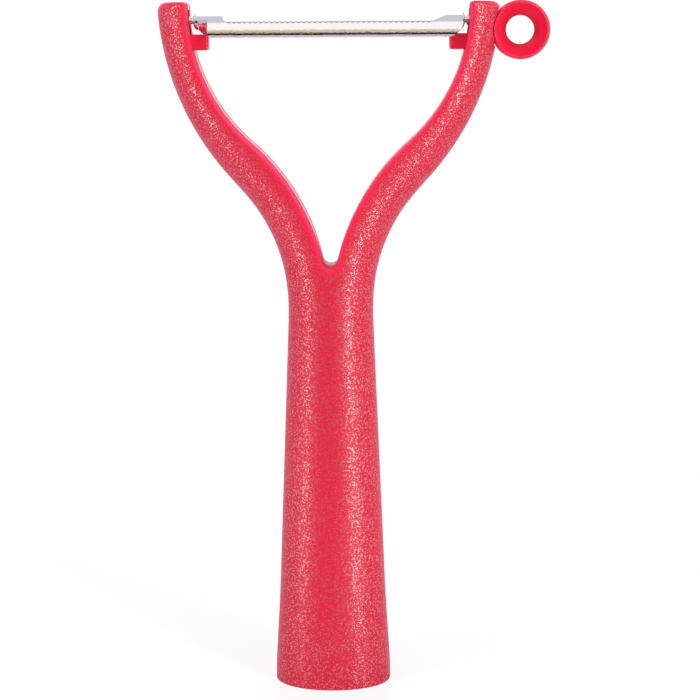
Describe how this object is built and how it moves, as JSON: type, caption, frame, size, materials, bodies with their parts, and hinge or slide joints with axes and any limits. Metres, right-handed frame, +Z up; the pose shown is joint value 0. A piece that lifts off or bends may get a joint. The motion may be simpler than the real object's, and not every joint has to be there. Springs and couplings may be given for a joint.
{
  "type": "vegetable peeler",
  "caption": "Y-shaped hand peeler with a swivelling serrated steel blade held between two arms, a hollow two-shell handle and an eye remover ring.",
  "frame": {"origin": "centre of the flat foot, on the surface that the peeler stands on", "axes": "+Z up the handle towards the blade, +X towards the eye remover ring, -Y towards the front shell"},
  "size_m": [0.0913, 0.019, 0.1654],
  "materials": {
    "textured_plastic": "fine spark-eroded texture",
    "smooth_plastic": "smooth moulded",
    "polished_steel": "polished stainless sheet",
    "pin_steel": "turned stainless"
  },
  "bodies": {
    "handle": {"front_shell": "textured_plastic", "rear_shell": "textured_plastic", "left_pivot_bearing": "smooth_plastic", "right_pivot_bearing": "smooth_plastic", "eye_remover_ring": "smooth_plastic"},
    "blade": {"peeler_blade": "polished_steel", "left_pivot_pin": "pin_steel", "right_pivot_pin": "pin_steel"}
  },
  "joints": [
    {"name": "blade_swivel", "type": "hinge", "parent": "handle", "child": "blade", "pos_m": [0, 0, 0.1607], "axis": [1, 0, 0], "range_deg": [-24, 24]}
  ]
}
